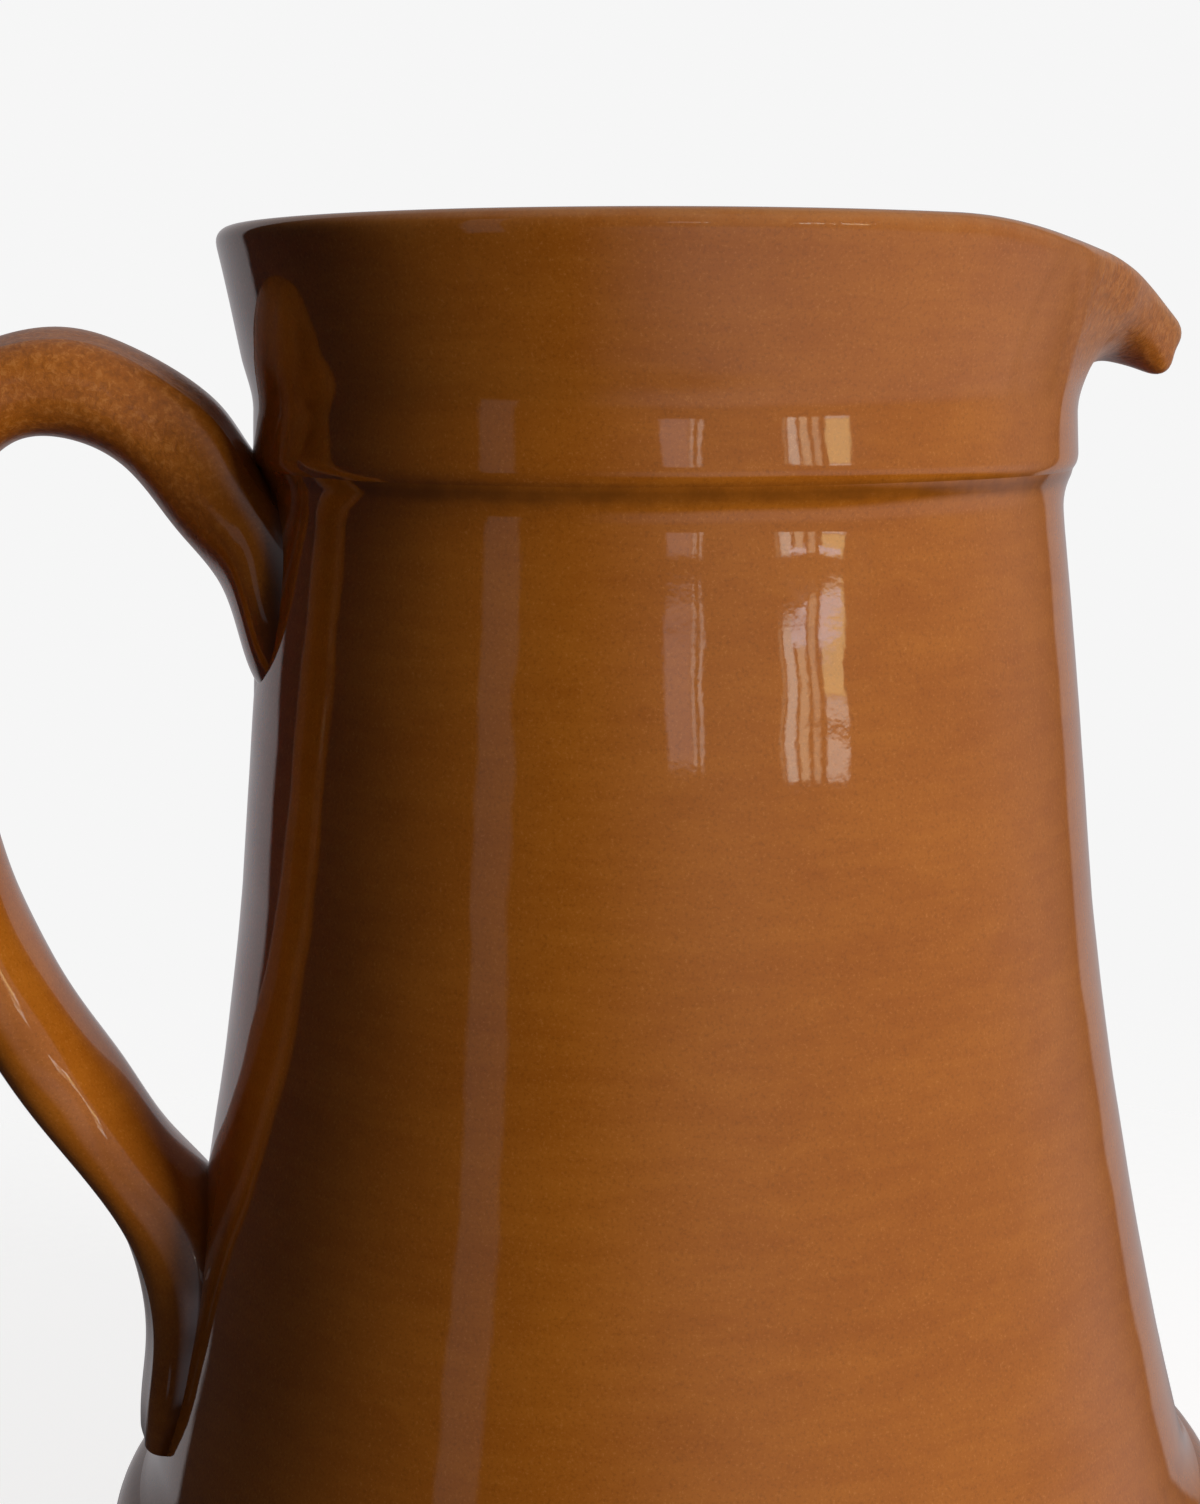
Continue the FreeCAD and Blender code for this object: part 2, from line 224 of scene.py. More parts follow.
# The belly's seam sits lower on the handle's side, and the ledge is a little out of level.
SEAT_DROP, SEAT_TILT, SEAT_SPREAD = 1.6, 1.9, 16
LEDGE_TILT, LEDGE_SPREAD = 0.2, 4
# The dents of a finger and thumb: how deep, where, half as wide and as high, and how they slant.
DENT, DENT_ANGLE, DENT_SHIFT, DENT_DROP = 0.26, 43.0, 2.0, 15.5
DENT_HALF_WIDTH, DENT_HALF_HEIGHT, DENT_SLANT = 8.6, 12.0, 0.30


def pressed(angle, height):
    """Where a finger steadied the rim while the beak was drawn: a flat, leaf-shaped dent each side."""
    total = 0.0
    for side, shift in ((-1, 0.0), (1, DENT_SHIFT)):
        centre = side * math.radians(DENT_ANGLE + shift)
        across = (angle - centre) * RIM_RADIUS / DENT_HALF_WIDTH
        up = (height - (RIM_HEIGHT - DENT_DROP)) / DENT_HALF_HEIGHT
        leaf = np.hypot(across * (1 - DENT_SLANT * up * side), up)
        total = total + ease((1.20 - leaf) / 0.42)
    return total


def thrown(angle, radius, height, inside=0.0):
    """A point of the turned wall, moved by the small unevenness of handwork."""
    angle = (angle + math.pi) % (2 * math.pi) - math.pi
    out = sum_of(LUMPS, angle, height) + sum_of(RIPPLES, angle, height) * (1 - inside)
    out = out + sum_of(RINGS, angle, height) * (1 - inside) + sum_of(INNER_RINGS, angle, height) * inside
    out = out - DENT * pressed(angle, height) * (1 - inside)
    radius = radius - CLEARANCE * ease((100 - height) / 25) + out * ease(height / 8)
    radius = radius + np.interp(height, LEAN_HEIGHTS, LEAN) * np.cos(angle - LEAN_BEARING)
    off_centre = np.hypot((height - PUSH_HEIGHT) / PUSH_SPREAD, (math.pi - np.abs(angle)) / PUSH_ANGLE)
    radius = radius - PUSH * np.exp(-0.5 * off_centre ** 2)
    seat = np.exp(-0.5 * ((height - SEAT_HEIGHT) / SEAT_SPREAD) ** 2) * ease(height / 20)
    ledge = np.exp(-0.5 * ((height - LEDGE_HEIGHT) / LEDGE_SPREAD) ** 2)
    up = seat * (SEAT_TILT * np.cos(angle) - SEAT_DROP)
    up = up + ledge * (LEDGE_TILT * np.cos(angle) + sum_of(UNEVEN, angle, height))
    height = height + up
    return np.stack(np.broadcast_arrays(radius * np.cos(angle), radius * np.sin(angle), height), axis=-1)


def wall_radius(angle, height):
    """How far out the turned wall's outer face is."""
    plain = np.interp(height, outer_outline[:, 1], outer_outline[:, 0])
    point = thrown(angle, plain, height)
    lift = point[..., 2] - height
    plain = np.interp(height - lift, outer_outline[:, 1], outer_outline[:, 0])
    point = thrown(angle, plain, height - lift)
    return np.hypot(point[..., 0], point[..., 1])


# ---------------------------------------------------------------- the drawn beak

BEAK_OUTSIDE = np.array([
    (np.interp(FLARE_HEIGHT, outer_outline[:, 1], outer_outline[:, 0]), FLARE_HEIGHT),
    (62.4, FLARE_HEIGHT + 2.4), (64.6, FLARE_HEIGHT + 5.4), (67.5, FLARE_HEIGHT + 7.1),
    (71.2, FLARE_HEIGHT + 6.8), (75.0, FLARE_HEIGHT + 5.7), (SPOUT_REACH - 2.7, FLARE_HEIGHT + 5.0),
    (SPOUT_REACH - 1.0, FLARE_HEIGHT + 5.5), (SPOUT_REACH - 0.1, FLARE_HEIGHT + 7.0),
    (SPOUT_REACH, FLARE_HEIGHT + 8.7),
])
BEAK_INSIDE = np.array([
    (SPOUT_REACH - 4.3, FLARE_HEIGHT + 13.6), (72.5, FLARE_HEIGHT + 13.5), (68.0, FLARE_HEIGHT + 12.1),
    (63.6, FLARE_HEIGHT + 9.3), (60.0, FLARE_HEIGHT + 5.1),
    (COLLAR_RADIUS - COLLAR_WALL + 0.4, FLARE_HEIGHT),
])
# The rim dips by this much between two angles from the beak's point.
RIM_DIP, DIP_END, DIP_FADE = 3.0, 64, 34


def drawn_weight(angle, fade=12.5, blunt=1.6):
    """How much of the beak there is at an angle from its point: 1 at the point, 0 at the notch's sides."""
    degrees = np.abs(np.degrees(angle))
    peak = np.exp(-(np.hypot(degrees, blunt) - blunt) / fade)
    return peak * ease((SPOUT_HALF_ANGLE - degrees) / 22)


def by_length(points, shares):
    """A smooth curve through a few points, read at shares of its length."""
    lengths = np.r_[0, np.cumsum(np.linalg.norm(np.diff(points, axis=0), axis=1))]
    return spline(lengths / lengths[-1], points, shares)


def rim_wall(angles, rows, side):
    """Radius and height of the flared wall or its lip: plain collar, dipped and drawn out near +X.

    rows run from 0 to 1: up the outer face, over the lip, or down the inner face.
    """
    angles = (angles + math.pi) % (2 * math.pi) - math.pi
    weight = drawn_weight(angles)[None, :, None]
    outer_plain = by_length(between(outer_outline, FLARE_HEIGHT, RIM_HEIGHT - LIP), rows)
    inner_plain = by_length(between(inner_outline, FLARE_HEIGHT, RIM_HEIGHT - LIP), rows)
    dip = RIM_DIP * ease((DIP_END - np.abs(np.degrees(angles))) / DIP_FADE)[None, :]

    def blend(plain, beak):
        flat = np.repeat(plain[:, None, :], len(angles), axis=1)
        flat[..., 1] -= dip * ease((flat[..., 1] - FLARE_HEIGHT) / (RIM_HEIGHT - FLARE_HEIGHT))
        return flat * (1 - weight) + beak[:, None, :] * weight

    if side == "outside":
        return blend(outer_plain, by_length(BEAK_OUTSIDE, rows))
    if side == "inside":
        return blend(inner_plain, by_length(BEAK_INSIDE, rows))
    first = blend(outer_plain[-1:], BEAK_OUTSIDE[-1:])
    last = blend(inner_plain[:1], BEAK_INSIDE[:1])
    half = (first - last) / 2
    up = np.stack([-half[..., 1], half[..., 0]], axis=-1)
    turn = (rows * math.pi)[:, None, None]
    return (first + last) / 2 + half * np.cos(turn) + up * np.sin(turn)


# ---------------------------------------------------------------- making meshes


class Clay:
    """A closed mesh put together from curved skins, with smooth normals on the skins only."""

    def __init__(self):
        self.points, self.faces, self.normals, self.depth, self.coarse = [], [], [], [], []
        self.count = 0

    def lay(self, grid, depth=0.0, coarse=0.0):
        """Add a grid of points and return their numbers.

        The depth values are how thick the glaze lies plus painted shade in creases and coves, and coarse how
        much the clay under it was worked by hand.
        """
        numbers = self.count + np.arange(grid.shape[0] * grid.shape[1]).reshape(grid.shape[:2])
        self.points.append(grid.reshape(-1, 3))
        self.depth.append(np.broadcast_to(depth, grid.shape[:2]).reshape(-1))
        self.coarse.append(np.broadcast_to(coarse, grid.shape[:2]).reshape(-1))
        self.count += numbers.size
        return numbers

    def skin(self, numbers, normals=None, flip=False):
        """Quads over a grid of point numbers. Without normals they are flat faces."""
        def around(grid, axis):
            return np.stack([grid[:-1, :-1], grid[:-1, 1:], grid[1:, 1:], grid[1:, :-1]], axis=axis)

        corners = around(numbers, -1)
        corners = corners[..., ::-1] if flip else corners
        corners = corners.reshape(-1, 4)
        if normals is None:
            facing = np.zeros(corners.shape + (3,))
        else:
            facing = around(normals, -2)
            facing = facing[..., ::-1, :] if flip else facing
            facing = facing.reshape(-1, 4, 3)
        self.faces.append(corners)
        self.normals.append(facing)

    def cap(self, ring, flip=False):
        """One flat face that closes a ring of points."""
        ring = ring[::-1] if flip else ring
        self.faces.append(ring.reshape(1, -1))
        self.normals.append(np.zeros((1, len(ring), 3)))

    def web(self, column, flip=False):
        """Rungs between the two sides of a wall, closing it where it ends in a column of points."""
        half = len(column) // 2
        near, far = column[:half], column[:half:-1]
        rungs = np.stack([near[:-1], near[1:], far[1:], far[:-1]], axis=1)
        tip = np.array([[near[-1], column[half], far[-1]]])
        for faces in (rungs, tip):
            faces = faces[:, ::-1] if flip else faces
            self.faces.append(faces)
            self.normals.append(np.zeros(faces.shape + (3,)))

    def piece(self, name, node, material):
        """Make the Blender object, and let it stand for its CAD node."""
        points = np.vstack(self.points) * MM
        loops = [row for block in self.faces for row in block.tolist()]
        facing = np.concatenate([block.reshape(-1, 3) for block in self.normals])
        mesh = bpy.data.meshes.new(name)
        mesh.from_pydata(points.tolist(), [], loops)
        mesh.polygons.foreach_set("use_smooth", np.ones(len(loops), bool))
        flat = np.repeat(np.array([polygon.normal[:] for polygon in mesh.polygons]),
                         [len(row) for row in loops], axis=0)
        plain = np.linalg.norm(facing, axis=1) < 0.5
        facing[plain] = flat[plain]
        for label, values in (("glaze_depth", self.depth), ("coarse", self.coarse)):
            attribute = mesh.attributes.new(label, "FLOAT", "POINT")
            attribute.data.foreach_set("value", np.concatenate(values).astype(np.float32))
        mesh.materials.append(material)
        mesh.normals_split_custom_set(facing.tolist())
        body = bpy.data.objects.new(name, mesh)
        bpy.context.scene.collection.objects.link(body)
        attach(body, ROOT)
        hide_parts(node)
        return body


def surface(shape, angles):
    """A grid of points and outward normals of shape(angles), for rows going up the outer face.

    One more angle is read at each end, so that two pieces that meet there share a normal.
    """
    step_first, step_last = angles[1] - angles[0], angles[-1] - angles[-2]
    wide = np.r_[angles[0] - step_first, angles, angles[-1] + step_last]
    grid = shape(wide)
    along = np.gradient(grid, axis=0)
    across = grid[:, 2:] - grid[:, :-2]
    normals = np.cross(across, along[:, 1:-1])
    normals /= np.linalg.norm(normals, axis=-1, keepdims=True) + 1e-12
    return grid[:, 1:-1], normals


def wrapped(numbers, normals):
    """Close a grid that goes all the way round, joining its last column to its first."""
    return np.c_[numbers, numbers[:, :1]], np.concatenate([normals, normals[:, :1]], axis=1)


COLUMN_STEP = 0.8
ROUND = np.radians(np.arange(0, 360, COLUMN_STEP))


def outline_skin(outline, inside=0.0):
    """The surface that an outline sweeps as it is thrown."""
    def shape(angles):
        return thrown(angles[None, :], outline[:, :1], outline[:, 1:], inside)
    return shape


def ring_piece(name, node, outer, top, inner, bottom, material, depth=None):
    """A ring: outer face going up, flat top points, inner face going down, flat bottom points."""
    clay = Clay()
    grids = []
    for outline, inside in ((outer, 0.0), (inner, 1.0)):
        grid, normals = surface(outline_skin(outline, inside), ROUND)
        # Glaze depth by row, with painted shade in the creases added to it.
        pooled_and_shaded = depth(outline, inside) if depth else 0.0
        numbers = clay.lay(grid, np.broadcast_to(np.reshape(pooled_and_shaded, (-1, 1)), grid.shape[:2]))
        grids.append(wrapped(numbers, normals))
        clay.skin(*grids[-1])
    (out, _), (back, _) = grids
    for first, joint, last in ((out[-1:], top, back[:1]), (back[-1:], bottom, out[:1])):
        rows = [first]
        if len(joint):
            numbers = clay.lay(thrown(ROUND[None, :], np.array(joint)[:, :1], np.array(joint)[:, 1:], 0.5))
            rows.append(np.c_[numbers, numbers[:, :1]])
        rows.append(last)
        clay.skin(np.vstack(rows))
    return clay.piece(name, node, material)


# ---------------------------------------------------------------- node helpers


def add(tree, kind, inputs=(), **settings):
    """A node of a kind, with its settings, and its inputs linked or set."""
    made = tree.nodes.new(kind)
    for name, value in settings.items():
        setattr(made, name, value)
    for name, value in dict(inputs).items():
        socket = made.inputs[name]
        if isinstance(value, bpy.types.NodeSocket):
            tree.links.new(value, socket)
        else:
            socket.default_value = value
    return made


def calc(tree, operation, *values):
    """A Math node's result."""
    return add(tree, "ShaderNodeMath", dict(enumerate(values)), operation=operation).outputs[0]


def ranged(tree, value, low, high, first=0.0, last=1.0):
    """A value eased from first to last as it goes from low to high."""
    inputs = {"Value": value, "From Min": low, "From Max": high, "To Min": first, "To Max": last}
    return add(tree, "ShaderNodeMapRange", inputs, interpolation_type="SMOOTHSTEP").outputs[0]


def noise(tree, place, scale, detail=2.0, roughness=0.5, distortion=0.0):
    """A noise texture's value, with scale in features to the metre."""
    inputs = {"Vector": place, "Scale": scale, "Detail": detail, "Roughness": roughness,
              "Distortion": distortion}
    return add(tree, "ShaderNodeTexNoise", inputs).outputs["Fac"]


def mixed(tree, share, first, second):
    """Two colours mixed by a share."""
    made = tree.nodes.new("ShaderNodeMix")
    made.data_type = "RGBA"
    for socket, value in ((made.inputs["Factor"], share), (made.inputs[6], first), (made.inputs[7], second)):
        if isinstance(value, bpy.types.NodeSocket):
            tree.links.new(value, socket)
        else:
            socket.default_value = value
    return made.outputs[2]


def new_material(name):
    """A material with an empty node tree, its shader and the place on the object."""
    made = bpy.data.materials.new(name)
    made.use_nodes = True
    tree = made.node_tree
    tree.nodes.clear()
    shader = add(tree, "ShaderNodeBsdfPrincipled")
    output = add(tree, "ShaderNodeOutputMaterial")
    tree.links.new(shader.outputs[0], output.inputs[0])
    return made, tree, shader, add(tree, "ShaderNodeTexCoord").outputs["Object"]


def stretched(tree, place, scale):
    """The place on the object, scaled along its three axes."""
    return add(tree, "ShaderNodeMapping", {"Vector": place, "Scale": scale}).outputs[0]


# ---------------------------------------------------------------- finishes

HONEY = (0.490, 0.150, 0.012, 1)
AMBER = (0.405, 0.112, 0.007, 1)
CHESTNUT = (0.215, 0.062, 0.005, 1)
SAND = (0.640, 0.245, 0.050, 1)
# Near black: grog specks in the bare clay, and painted shade where the glaze darkens most.
TREACLE = (0.070, 0.016, 0.002, 1)
THIN = (0.560, 0.300, 0.130, 1)
TERRACOTTA = (0.420, 0.190, 0.095, 1)
FIRED_DARK = (0.250, 0.105, 0.055, 1)


def glaze(name):
    """Amber glaze over red clay: darker where it pools and where shade is painted into creases and coves,
    thin on edges, coarse where it was worked.
    """
    made, tree, shader, place = new_material(name)
    cloud = noise(tree, stretched(tree, place, (1, 1, 2.2)), 30.0, 4.0, 0.55, 0.6)
    turned = noise(tree, stretched(tree, place, (1, 1, 7)), 70.0, 3.0, 0.6)
    mottle = noise(tree, place, 260.0, 3.0, 0.6)
    grain = noise(tree, place, 2300.0, 2.0, 0.7)
    coarse = add(tree, "ShaderNodeAttribute", attribute_name="coarse").outputs["Fac"]
    share = calc(tree, "ADD", ranged(tree, cloud, 0.36, 0.66, 0.0, 0.45),
                 ranged(tree, mottle, 0.35, 0.7, 0.0, 0.20))
    share = calc(tree, "ADD", share, ranged(tree, turned, 0.35, 0.65, 0.0, 0.35))
    colour = mixed(tree, share, HONEY, AMBER)
    colour = mixed(tree, ranged(tree, grain, 0.30, 0.48, 0.34, 0.0), colour, CHESTNUT)
    colour = mixed(tree, ranged(tree, grain, 0.56, 0.74, 0.0, 0.42), colour, SAND)
    depth = add(tree, "ShaderNodeAttribute", attribute_name="glaze_depth").outputs["Fac"]
    depth = calc(tree, "ADD", depth, ranged(tree, mottle, 0.3, 0.7, -0.05, 0.05))
    # Painted shade: positive depth darkens the glaze to chestnut and then treacle, partly as real pooling
    # and partly as shade painted into creases, coves and handle roots.
    colour = mixed(tree, ranged(tree, depth, 0.06, 0.55), colour, CHESTNUT)
    colour = mixed(tree, ranged(tree, depth, 0.55, 1.0), colour, TREACLE)
    colour = mixed(tree, ranged(tree, depth, -0.10, -1.0, 0.0, 0.8), colour, THIN)
    crumb = noise(tree, place, 900.0, 3.0, 0.65, 0.4)
    pits = calc(tree, "MULTIPLY", coarse, ranged(tree, crumb, 0.36, 0.50, 0.40, 0.0))
    colour = mixed(tree, pits, colour, CHESTNUT)
    crumbs = calc(tree, "MULTIPLY", coarse, ranged(tree, crumb, 0.52, 0.64, 0.0, 0.50))
    colour = mixed(tree, crumbs, colour, SAND)
    tree.links.new(colour, shader.inputs["Base Color"])
    peel = calc(tree, "MULTIPLY", noise(tree, place, 1350.0, 1.0, 0.4), 0.10)
    dimple = calc(tree, "MULTIPLY", noise(tree, place, 420.0, 1.5, 0.5), 0.16)
    slow = calc(tree, "MULTIPLY", noise(tree, place, 95.0, 1.0, 0.4), 0.30)
    wrinkle = calc(tree, "MULTIPLY", calc(tree, "MULTIPLY", crumb, coarse), 3.2)
    height = calc(tree, "ADD", calc(tree, "ADD", peel, dimple), calc(tree, "ADD", slow, wrinkle))
    bump = add(tree, "ShaderNodeBump", {"Height": height, "Strength": 0.30, "Distance": 0.00012})
    tree.links.new(bump.outputs[0], shader.inputs["Normal"])
    rough = ranged(tree, mottle, 0.3, 0.7, 0.030, 0.055)
    rough = calc(tree, "ADD", rough, calc(tree, "MULTIPLY", coarse, 0.30))
    tree.links.new(rough, shader.inputs["Roughness"])
    shader.inputs["IOR"].default_value = 1.52
    shader.inputs["Coat Weight"].default_value = 0.15
    shader.inputs["Coat Roughness"].default_value = 0.03
    return made


def clay_body(name):
    """Unglazed red clay: matt, with grog in it and fine wire-cut lines."""
    made, tree, shader, place = new_material(name)
    cloud = noise(tree, place, 60.0, 4.0, 0.6)
    grog = noise(tree, place, 1800.0, 2.0, 0.6)
    colour = mixed(tree, ranged(tree, cloud, 0.35, 0.65), TERRACOTTA, FIRED_DARK)
    colour = mixed(tree, ranged(tree, grog, 0.62, 0.70, 0.0, 0.5), colour, TREACLE)
    tree.links.new(colour, shader.inputs["Base Color"])
    tree.links.new(ranged(tree, cloud, 0.3, 0.7, 0.72, 0.9), shader.inputs["Roughness"])
    swept = add(tree, "ShaderNodeTexWave", {
        "Vector": add(tree, "ShaderNodeMapping", {"Vector": place, "Location": (0.12, 0.0, 0.0)}).outputs[0],
        "Scale": 180.0, "Distortion": 2.0, "Detail": 2.0, "Detail Scale": 40.0},
        wave_type="RINGS", rings_direction="Z").outputs["Fac"]
    height = calc(tree, "ADD", calc(tree, "MULTIPLY", swept, 0.4), grog)
    bump = add(tree, "ShaderNodeBump", {"Height": height, "Strength": 0.5, "Distance": 0.0003})
    tree.links.new(bump.outputs[0], shader.inputs["Normal"])
    return made


GLAZE = glaze("amber_glaze")
CLAY = clay_body("bare_clay")

# ---------------------------------------------------------------- the turned pieces


def belly_depth(outline, inside):
    """Glaze gathers under the shoulder, darker there as pooling and as painted shade, and thins at the foot.
    """
    height = outline[:, 1]
    pooled_and_shaded = 0.30 * np.exp(-0.5 * ((height - SEAT_HEIGHT) / 3.0) ** 2)
    foot = -0.9 * ease((FOOT_HEIGHT + 2.2 - height) / 2.0)
    return (pooled_and_shaded + foot) * (1 - inside)


def bell_depth(outline, inside):
    """Glaze gathers in the cove under the ledge and at the turn of the shoulder, darker there as pooling and
    as painted shade.
    """
    height = outline[:, 1]
    pooled_and_shaded = 0.42 * np.exp(-0.5 * ((height - LEDGE_HEIGHT + 1.0) / 1.2) ** 2)
    pooled_and_shaded = pooled_and_shaded + 0.22 * np.exp(-0.5 * ((height - SEAT_HEIGHT - 4) / 5.0) ** 2)
    return pooled_and_shaded * (1 - 0.6 * inside)


seat_tongue = [(SEAT_RADIUS - 2.5, SEAT_HEIGHT), (SEAT_RADIUS - 2.5, SEAT_HEIGHT + REBATE),
               (SEAT_RADIUS - WALL, SEAT_HEIGHT + REBATE)]
neck_tongue = [(NECK[0] - 2.5, LEDGE_HEIGHT), (NECK[0] - 2.5, LEDGE_HEIGHT - REBATE),
               (NECK[0] - WALL, LEDGE_HEIGHT - REBATE)]

ring_piece(
    "lower_body_shell", "lower_body",
    evenly(between(outer_outline, FOOT_HEIGHT, SEAT_HEIGHT), 1.0), seat_tongue,
    evenly(between(inner_outline, FOOT_HEIGHT, SEAT_HEIGHT), 1.6), [], GLAZE, belly_depth)
ring_piece(
    "upper_body_shell", "upper_body",
    evenly(between(outer_outline, SEAT_HEIGHT, LEDGE_HEIGHT), 0.9), neck_tongue,
    evenly(between(inner_outline, SEAT_HEIGHT, LEDGE_HEIGHT), 1.6), seat_tongue[::-1], GLAZE,
    bell_depth)

# ---------------------------------------------------------------- collar and beak

SKIRT_ROWS = evenly(between(outer_outline, LEDGE_HEIGHT, FLARE_HEIGHT), 0.45)
INNER_SKIRT_ROWS = evenly(between(inner_outline, LEDGE_HEIGHT, FLARE_HEIGHT), 0.9)
OUT_SHARES = np.linspace(0, 1, 36)
LIP_SHARES = np.linspace(0, 1, 15)
IN_SHARES = np.linspace(0, 1, 36)
FIRST_WALL_ROW = len(SKIRT_ROWS) - 1
LAST_WALL_ROW = FIRST_WALL_ROW + len(OUT_SHARES) + len(LIP_SHARES) + len(IN_SHARES) - 3


def collar_sweep(angles):
    """The whole collar, beak included, as one sweep from the ledge over the rim and down inside."""
    line = angles[None, :]
    outside = rim_wall(angles, OUT_SHARES, "outside")
    lip = rim_wall(angles, LIP_SHARES, "lip")[1:-1]
    inside = rim_wall(angles, IN_SHARES, "inside")
    blend_in = np.r_[np.zeros(len(outside)), np.linspace(0, 1, len(lip)), np.ones(len(inside))][:, None]
    wall = np.concatenate([outside, lip, inside])
    for _ in range(3):
        wall[1:-1] = (wall[:-2] + 2 * wall[1:-1] + wall[2:]) / 4
    return np.concatenate([
        thrown(line, SKIRT_ROWS[:-1, :1], SKIRT_ROWS[:-1, 1:]),
        thrown(line, wall[..., 0], wall[..., 1], blend_in),
        thrown(line, INNER_SKIRT_ROWS[1:, :1], INNER_SKIRT_ROWS[1:, 1:], 1.0),
    ])


def collar_depth(grid):
    """Glaze thins over the lip, and gathers just above the ledge, darker there as pooling and as painted
    shade.
    """
    rows = np.arange(len(grid))
    lip_middle = FIRST_WALL_ROW + len(OUT_SHARES) + len(LIP_SHARES) / 2
    thin = -0.62 * np.exp(-0.5 * ((rows - lip_middle) / 6.0) ** 2)
    pooled_and_shaded = 0.30 * np.exp(-0.5 * (rows / 1.2) ** 2)
    return (thin + pooled_and_shaded)[:, None]


def collar_coarse(angles, count):
    """How coarse the glaze is: only where the beak was drawn, above the collar's plain foot."""
    degrees = np.abs(np.degrees((angles + math.pi) % (2 * math.pi) - math.pi))
    rows = np.arange(count)[:, None]
    up = ease((rows - FIRST_WALL_ROW) / 14.0)
    return up * ease((46 - degrees[None, :]) / 20.0)


def make_collar():
    """The flared collar, with the notch that the beak fills."""
    angles = ROUND
    grid, normals = surface(collar_sweep, angles)
    depth = np.broadcast_to(collar_depth(grid), grid.shape[:2])
    edge = int(round(SPOUT_HALF_ANGLE / COLUMN_STEP))
    kept = slice(edge, len(angles) - edge + 1)
    clay = Clay()
    coarse = collar_coarse(angles, len(grid))
    low = clay.lay(grid[:FIRST_WALL_ROW + 1], depth[:FIRST_WALL_ROW + 1])
    wall_rows = slice(FIRST_WALL_ROW + 1, LAST_WALL_ROW)
    wall = clay.lay(grid[wall_rows, kept], depth[wall_rows, kept], coarse[wall_rows, kept])
    deep = clay.lay(grid[LAST_WALL_ROW:], depth[LAST_WALL_ROW:])
    clay.skin(*wrapped(low, normals[:FIRST_WALL_ROW + 1]))
    clay.skin(*wrapped(deep, normals[LAST_WALL_ROW:]))
    band = np.vstack([low[-1:, kept], wall, deep[:1, kept]])
    clay.skin(band, normals[FIRST_WALL_ROW:LAST_WALL_ROW + 1, kept])
    clay.skin(wrapped(np.vstack([deep[-1:], low[:1]]), normals[:2])[0])
    opened = np.r_[np.arange(len(angles) - edge, len(angles)), np.arange(0, edge + 1)]
    clay.skin(np.vstack([low[-1:, opened], deep[:1, opened]]))
    clay.web(band[:, 0])
    clay.web(band[:, -1], flip=True)
    return clay.piece("collar_flared", "collar", GLAZE)


def make_beak():
    """The pouring beak, drawn out of the wall between the notch's two sides."""
    share = np.linspace(-1, 1, 131)
    angles = np.radians(SPOUT_HALF_ANGLE) * np.sign(share) * np.abs(share) ** 1.5
    grid, normals = surface(collar_sweep, angles)
    grid = grid[FIRST_WALL_ROW:LAST_WALL_ROW + 1]
    depth = np.broadcast_to(collar_depth(normals)[FIRST_WALL_ROW:LAST_WALL_ROW + 1], grid.shape[:2])
    clay = Clay()
    coarse = collar_coarse(angles, len(normals))[FIRST_WALL_ROW:LAST_WALL_ROW + 1]
    numbers = clay.lay(grid, depth, coarse)
    clay.skin(numbers, normals[FIRST_WALL_ROW:LAST_WALL_ROW + 1])
    clay.skin(np.vstack([numbers[-1:], numbers[:1]]))
    clay.web(numbers[:, 0])
    clay.web(numbers[:, -1], flip=True)
    return clay.piece("pouring_beak", "pouring_spout", GLAZE)


make_collar()
make_beak()

# ---------------------------------------------------------------- the foot


def make_foot():
    """The unglazed foot, bevelled where it stands, with the plug that closes the belly."""
    bevel = 1.5
    clearance = 0.4
    radius = base_high[0] - clearance
    under = [(reach, 0.0) for reach in np.linspace(1.5, radius - bevel - 1.0, 30)]
    side = [(radius - bevel - 0.4, 0.12), (radius - bevel, 0.45), (radius - 1.0, 1.5), (radius - 0.4, 4.0)]
    side += [(radius, FOOT_HEIGHT - 0.5), (radius - 0.15, FOOT_HEIGHT)]
    plug = [(FLOOR_RADIUS, FOOT_HEIGHT), (FLOOR_RADIUS, FLOOR_HEIGHT - 0.1), (1.5, FLOOR_HEIGHT - 0.1)]
    clay = Clay()
    rings = []
    for line in (np.array(under), np.array(side), np.array(plug)):
        grid = np.stack([line[:, :1] * np.cos(ROUND), line[:, :1] * np.sin(ROUND),
                         np.repeat(line[:, 1:], len(ROUND), axis=1)], axis=-1)
        rings.append(clay.lay(grid))
    every = np.vstack(rings)
    every = np.c_[every, every[:, :1]]
    clay.skin(every)
    clay.cap(every[0, :-1], flip=True)
    clay.cap(every[-1, :-1])
    return clay.piece("foot_and_floor", "base", CLAY)


make_foot()

# ---------------------------------------------------------------- handle

# Down the handle from the collar to the shoulder: the face away from the jug (distance from the
# axis, height), the face towards it, and the width.
HANDLE_STATIONS = np.array([
    (54.0, 205.0, 54.0, 172.0, 37.0), (61.0, 212.5, 62.2, 178.0, 34.0),
    (66.5, 220.1, 67.0, 192.5, 29.5), (72.5, 225.0, 73.4, 201.2, 26.5),
    (80.0, 229.0, 80.9, 210.4, 25.0), (91.0, 231.1, 91.3, 214.8, 24.5),
    (103.3, 227.6, 97.6, 213.2, 24.5), (115.7, 215.4, 103.0, 206.4, 25.0),
    (120.7, 196.3, 105.6, 194.8, 25.4), (119.9, 174.0, 105.2, 176.5, 25.8),
    (115.2, 148.6, 100.9, 153.6, 25.8), (105.8, 125.8, 92.5, 132.9, 26.0),
    (96.8, 111.6, 84.0, 119.2, 26.5), (88.3, 99.5, 76.6, 107.3, 28.0),
    (83.1, 88.5, 67.0, 94.0, 30.6), (81.8, 77.0, 67.0, 79.0, 31.6),
    (82.8, 66.0, 70.0, 66.5, 30.5), (82.9, 61.2, 74.0, 60.2, 26.0),
])
HANDLE_ANGLE = math.pi
HANDLE_SQUARENESS = 2.5


